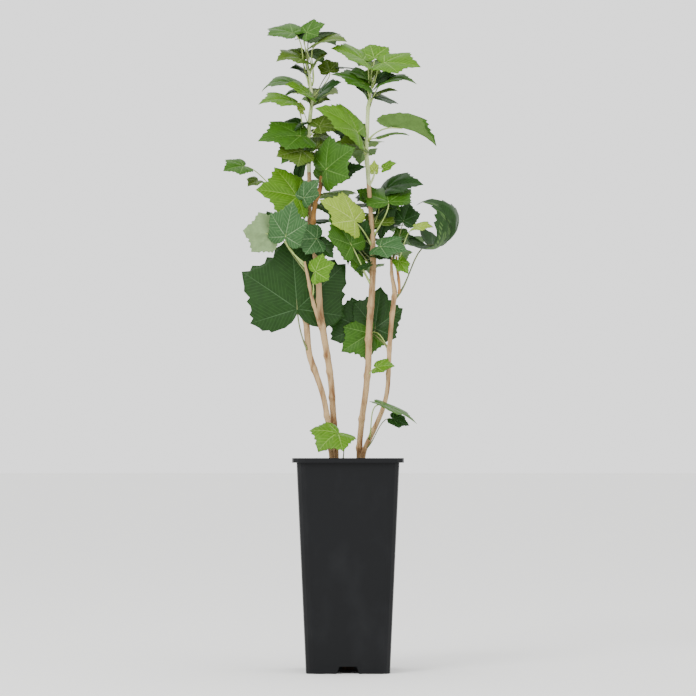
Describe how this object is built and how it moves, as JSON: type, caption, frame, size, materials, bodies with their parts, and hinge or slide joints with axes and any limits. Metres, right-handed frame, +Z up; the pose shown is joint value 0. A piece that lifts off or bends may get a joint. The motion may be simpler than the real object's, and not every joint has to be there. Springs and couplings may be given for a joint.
{
  "type": "potted red currant bush",
  "caption": "Young currant bush with pale woody canes and lobed green leaves in a tall square black plastic pot.",
  "frame": {"origin": "middle of the pot's flat underside, on the surface it stands on", "axes": "+Z up, along the canes; +X to the right and -Y towards the viewer, across the pot's square sides"},
  "size_m": [0.2802, 0.1515, 0.7727],
  "materials": {
    "pot_plastic": "satin",
    "potting_mix": "matte",
    "currant_bark": "matte",
    "foliage": "satin",
    "dark_foliage": "satin"
  },
  "bodies": {
    "root": {"big_left_leaf": "dark_foliage", "centre_cane": "currant_bark", "centre_leaves": "foliage", "curled_right_leaf": "dark_foliage", "far_right_cane": "currant_bark", "left_cane": "currant_bark", "left_middle_leaves": "foliage", "left_top_leaves": "foliage", "left_upper_leaves": "foliage", "low_back_leaves": "dark_foliage", "low_front_leaf": "foliage", "low_right_leaf": "foliage", "low_right_under_leaf": "dark_foliage", "pot": "pot_plastic", "potting_mix": "potting_mix", "red_shoot_leaves": "foliage", "right_cane": "currant_bark", "right_middle_leaves": "foliage", "right_top_leaves": "foliage", "right_upper_leaves": "foliage", "side_shoot": "currant_bark", "side_shoot_leaves": "foliage", "small_low_leaf": "foliage", "tan_shoot_leaves": "foliage"}
  },
  "joints": []
}
